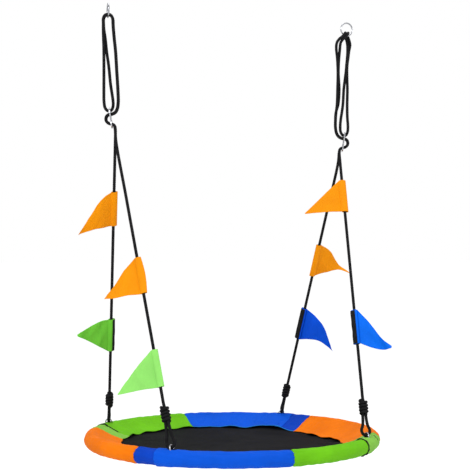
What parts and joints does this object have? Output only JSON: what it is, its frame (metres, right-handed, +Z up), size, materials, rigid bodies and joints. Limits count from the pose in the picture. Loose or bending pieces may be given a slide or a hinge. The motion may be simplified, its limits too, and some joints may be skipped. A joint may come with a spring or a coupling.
{
  "type": "saucer tree swing",
  "caption": "Round padded saucer swing seat with a woven mat, hung on four ropes with pennant flags, steel height adjusters and two doubled rope loops from two rings.",
  "frame": {"origin": "midway between the two hook contacts, which are at the tops of the insides of the two steel rings, 880 mm apart", "axes": "+X from the left ring to the right ring, -Y towards the front of the seat, +Z up; the seat hangs 1440 mm below the origin"},
  "size_m": [1.056, 0.996, 1.471],
  "materials": {
    "steel": "bright nickel plate",
    "zinc": "dull zinc plate",
    "rope": "black braided polyester",
    "foam": "closed-cell foam, hidden",
    "mat": "dark woven polyester",
    "blue": "royal blue padded cloth",
    "green": "grass green padded cloth",
    "orange": "orange padded cloth",
    "binding": "black bias tape",
    "flag_orange": "orange polyester cloth",
    "flag_green": "green polyester cloth",
    "flag_blue": "blue polyester cloth"
  },
  "bodies": {
    "hook_ring": {"ring_right": "steel"},
    "seat_and_ropes": {"ring_left": "steel", "rope_left_loops": "rope", "rope_right_loops": "rope", "adjuster_left": "steel", "adjuster_right": "steel", "rope_leg_front_left": "rope", "knot_front_left": "rope", "eye_front_left": "rope", "hanger_ring_front_left": "steel", "rope_leg_back_left": "rope", "knot_back_left": "rope", "eye_back_left": "rope", "hanger_ring_back_left": "steel", "rope_leg_back_right": "rope", "knot_back_right": "rope", "eye_back_right": "rope", "hanger_ring_back_right": "steel", "rope_leg_front_right": "rope", "knot_front_right": "rope", "eye_front_right": "rope", "hanger_ring_front_right": "steel", "frame_tube_back_right": "zinc", "frame_tube_back_left": "zinc", "frame_tube_front_left": "zinc", "frame_tube_front_right": "zinc", "spigot_1": "zinc", "spigot_2": "zinc", "spigot_3": "zinc", "spigot_4": "zinc", "joint_screw_1": "zinc", "joint_screw_2": "zinc", "joint_screw_3": "zinc", "joint_screw_4": "zinc", "foam_right": "foam", "foam_back": "foam", "foam_left": "foam", "foam_front": "foam", "cover_right_green": "green", "cover_right_orange": "orange", "cover_right_blue": "blue", "cover_back_blue": "blue", "cover_back_green": "green", "cover_left_green": "green", "cover_left_orange": "orange", "cover_left_blue": "blue", "cover_front_blue": "blue", "cover_front_green": "green", "binding_back_left": "binding", "binding_front_right": "binding", "mat": "mat"},
    "flag_back_left_upper": {"flag_back_left_upper": "flag_orange"},
    "flag_front_left_upper": {"flag_front_left_upper": "flag_orange"},
    "flag_back_left_lower": {"flag_back_left_lower": "flag_green"},
    "flag_front_left_lower": {"flag_front_left_lower": "flag_green"},
    "flag_front_right_upper": {"flag_front_right_upper": "flag_orange"},
    "flag_back_right_upper": {"flag_back_right_upper": "flag_orange"},
    "flag_back_right_lower": {"flag_back_right_lower": "flag_blue"},
    "flag_front_right_lower": {"flag_front_right_lower": "flag_blue"}
  },
  "joints": [
    {"name": "swing", "type": "hinge", "parent": "hook_ring", "child": "seat_and_ropes", "pos_m": [0.44, 0, -0.0425], "axis": [0.9988, 0, -0.0482], "range_deg": [-45, 45]},
    {"name": "swivel_back_left_upper", "type": "hinge", "parent": "seat_and_ropes", "child": "flag_back_left_upper", "pos_m": [-0.40003, 0.0599, -0.61165], "axis": [-0.0766, -0.3207, 0.9441], "continuous": true},
    {"name": "swivel_front_left_upper", "type": "hinge", "parent": "seat_and_ropes", "child": "flag_front_left_upper", "pos_m": [-0.38586, -0.14542, -0.83126], "axis": [-0.0828, 0.3047, 0.9488], "continuous": true},
    {"name": "swivel_back_left_lower", "type": "hinge", "parent": "seat_and_ropes", "child": "flag_back_left_lower", "pos_m": [-0.36518, 0.20584, -1.04132], "axis": [-0.0766, -0.3207, 0.9441], "continuous": true},
    {"name": "swivel_front_left_lower", "type": "hinge", "parent": "seat_and_ropes", "child": "flag_front_left_lower", "pos_m": [-0.36089, -0.23725, -1.11726], "axis": [-0.0828, 0.3047, 0.9488], "continuous": true},
    {"name": "swivel_front_right_upper", "type": "hinge", "parent": "seat_and_ropes", "child": "flag_front_right_upper", "pos_m": [0.40584, -0.02784, -0.56023], "axis": [0.078, 0.3349, 0.939], "continuous": true},
    {"name": "swivel_back_right_upper", "type": "hinge", "parent": "seat_and_ropes", "child": "flag_back_right_upper", "pos_m": [0.3913, 0.12137, -0.785], "axis": [0.0845, -0.317, 0.9446], "continuous": true},
    {"name": "swivel_back_right_lower", "type": "hinge", "parent": "seat_and_ropes", "child": "flag_back_right_lower", "pos_m": [0.37056, 0.19911, -1.01667], "axis": [0.0845, -0.317, 0.9446], "continuous": true},
    {"name": "swivel_front_right_lower", "type": "hinge", "parent": "seat_and_ropes", "child": "flag_front_right_lower", "pos_m": [0.36869, -0.18742, -1.00771], "axis": [0.078, 0.3349, 0.939], "continuous": true}
  ]
}
